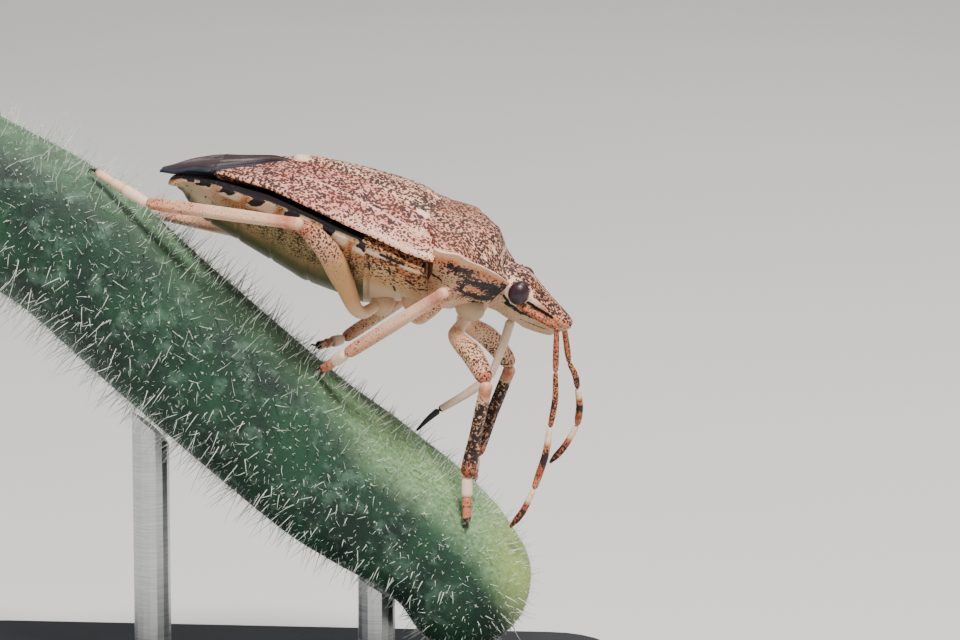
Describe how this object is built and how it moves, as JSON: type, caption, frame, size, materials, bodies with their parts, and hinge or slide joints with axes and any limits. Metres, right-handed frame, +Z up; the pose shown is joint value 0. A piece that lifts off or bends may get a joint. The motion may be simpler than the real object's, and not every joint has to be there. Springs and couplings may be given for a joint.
{
  "type": "shield bug",
  "caption": "Life-size still model of a brown speckled shield bug feeding head down on a cut, bristly green stem, held on a plain stand.",
  "frame": {"origin": "centre of the stand base's underside, which is the bottom centre of the whole model", "axes": "+X along the base towards the bug's head, +Y to the bug's left, +Z up"},
  "size_m": [0.025, 0.016, 0.0227],
  "materials": {
    "head_shell": "hard speckled shell",
    "eye": "glossy",
    "prothorax_shell": "punctured shell with a low gloss",
    "scutellum_shell": "punctured shell with a low gloss",
    "corium_shell": "punctured leathery forewing",
    "wing_membrane": "thin smoky membrane",
    "thorax_shell": "punctured shell with a low gloss",
    "abdomen_shell": "smooth shell with a low gloss",
    "femur": "satin",
    "tibia": "satin",
    "tarsus": "satin",
    "antenna": "satin",
    "rostrum": "satin",
    "rostrum_tip": "glossy black",
    "stem": "green stem with white bristles",
    "stalk": "smooth green plant tissue",
    "stand_base": "matte paint",
    "stand_rod": "brushed"
  },
  "bodies": {
    "root": {"abdomen": "abdomen_shell", "antenna_left_1": "antenna", "antenna_left_2": "antenna", "antenna_left_3": "antenna", "antenna_left_4": "antenna", "antenna_left_5": "antenna", "antenna_right_1": "antenna", "antenna_right_2": "antenna", "antenna_right_3": "antenna", "antenna_right_4": "antenna", "antenna_right_5": "antenna", "corium_left": "corium_shell", "corium_right": "corium_shell", "eye_left": "eye", "eye_right": "eye", "femur_front_left": "femur", "femur_front_right": "femur", "femur_middle_left": "femur", "femur_middle_right": "femur", "femur_rear_left": "femur", "femur_rear_right": "femur", "head": "head_shell", "membrane": "wing_membrane", "perch_stalk": "stalk", "perch_stem": "stem", "prothorax": "prothorax_shell", "rostrum_middle": "rostrum", "rostrum_tip": "rostrum_tip", "rostrum_upper": "rostrum", "scutellum": "scutellum_shell", "stand_base": "stand_base", "stand_rod_front": "stand_rod", "stand_rod_rear": "stand_rod", "tarsus_front_left": "tarsus", "tarsus_front_right": "tarsus", "tarsus_middle_left": "tarsus", "tarsus_middle_right": "tarsus", "tarsus_rear_left": "tarsus", "tarsus_rear_right": "tarsus", "thorax": "thorax_shell", "tibia_front_left": "tibia", "tibia_front_right": "tibia", "tibia_middle_left": "tibia", "tibia_middle_right": "tibia", "tibia_rear_left": "tibia", "tibia_rear_right": "tibia"}
  },
  "joints": []
}
